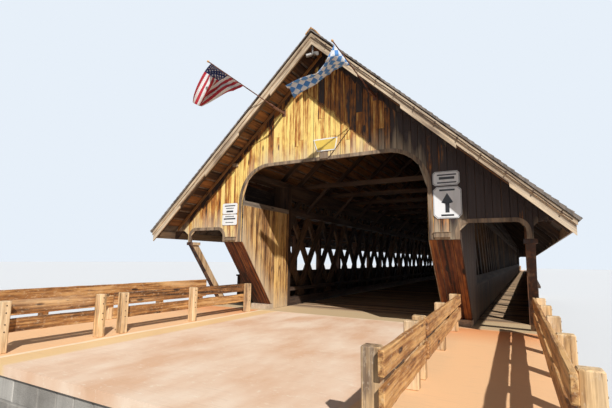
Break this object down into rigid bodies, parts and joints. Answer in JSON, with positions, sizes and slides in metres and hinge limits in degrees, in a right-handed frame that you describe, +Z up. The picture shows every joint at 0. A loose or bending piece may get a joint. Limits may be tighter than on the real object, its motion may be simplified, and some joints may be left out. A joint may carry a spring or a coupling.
{
  "type": "covered timber lattice-truss bridge, 1:10 scale model",
  "caption": "Covered timber bridge with a boarded gable portal, lattice-truss sides, side walkways under a steep shingled roof, masonry piers and fenced approaches; scale model at 1:10.",
  "frame": {"origin": "middle of the footprint, on the level of the lowest masonry foot", "axes": "+Z up, +Y along the bridge from the near portal to the far one, +X to the right seen from the near end"},
  "size_m": [1.122, 8.52, 1.218],
  "materials": {
    "concrete": "worn concrete",
    "dark_boards": "dark red-brown sheltered boards",
    "dark_timber": "old unpainted truss and roof timber",
    "deck_planks": "worn planks",
    "gable_boards": "weathered vertical boards, orange to grey",
    "grey_timber": "weathered grey timber",
    "lamp_metal": "cast lamp head",
    "lozenge_cloth": "thin flag cloth",
    "masonry": "coursed stone",
    "pole_metal": "thin painted pole",
    "rail_timber": "weathered fence timber",
    "shingles": "split wood shingles",
    "striped_cloth": "thin flag cloth"
  },
  "bodies": {
    "root": {"bearing_timbers": "dark_timber", "eave_boards": "grey_timber", "eave_plates": "dark_timber", "eave_posts": "dark_timber", "far_abutment": "masonry", "far_approach_slab": "concrete", "far_curb_fences": "rail_timber", "far_end_housings": "dark_boards", "far_gable_wall": "gable_boards", "far_outer_fences": "rail_timber", "far_pier": "masonry", "far_rake_boards": "grey_timber", "floor_beams": "dark_timber", "floor_stringers": "dark_timber", "foot_blocks": "grey_timber", "gable_lamp": "lamp_metal", "knee_braces": "dark_timber", "left_chords": "dark_timber", "left_far_lattice": "dark_timber", "left_flag": "striped_cloth", "left_flag_pole": "pole_metal", "left_middle_lattice": "dark_timber", "left_near_lattice": "dark_timber", "left_parapet": "dark_boards", "left_rafters": "dark_timber", "left_roof_battens": "dark_timber", "left_roof_shingles": "shingles", "left_walkway_wall": "dark_boards", "near_abutment": "masonry", "near_approach_slab": "concrete", "near_curb_fences": "rail_timber", "near_end_housings": "dark_boards", "near_gable_wall": "gable_boards", "near_outer_fences": "rail_timber", "near_pier": "masonry", "near_rake_boards": "grey_timber", "opening_trims": "grey_timber", "raked_eave_posts": "dark_boards", "ridge_cap": "shingles", "right_chords": "dark_timber", "right_far_lattice": "dark_timber", "right_flag": "lozenge_cloth", "right_flag_pole": "pole_metal", "right_middle_lattice": "dark_timber", "right_near_lattice": "dark_timber", "right_parapet": "dark_boards", "right_rafters": "dark_timber", "right_roof_battens": "dark_timber", "right_roof_shingles": "shingles", "right_walkway_wall": "dark_boards", "road_deck": "deck_planks", "tie_beams": "dark_timber", "truss_end_posts": "dark_timber", "walkway_decks": "deck_planks", "wall_plates": "dark_timber"}
  },
  "joints": []
}
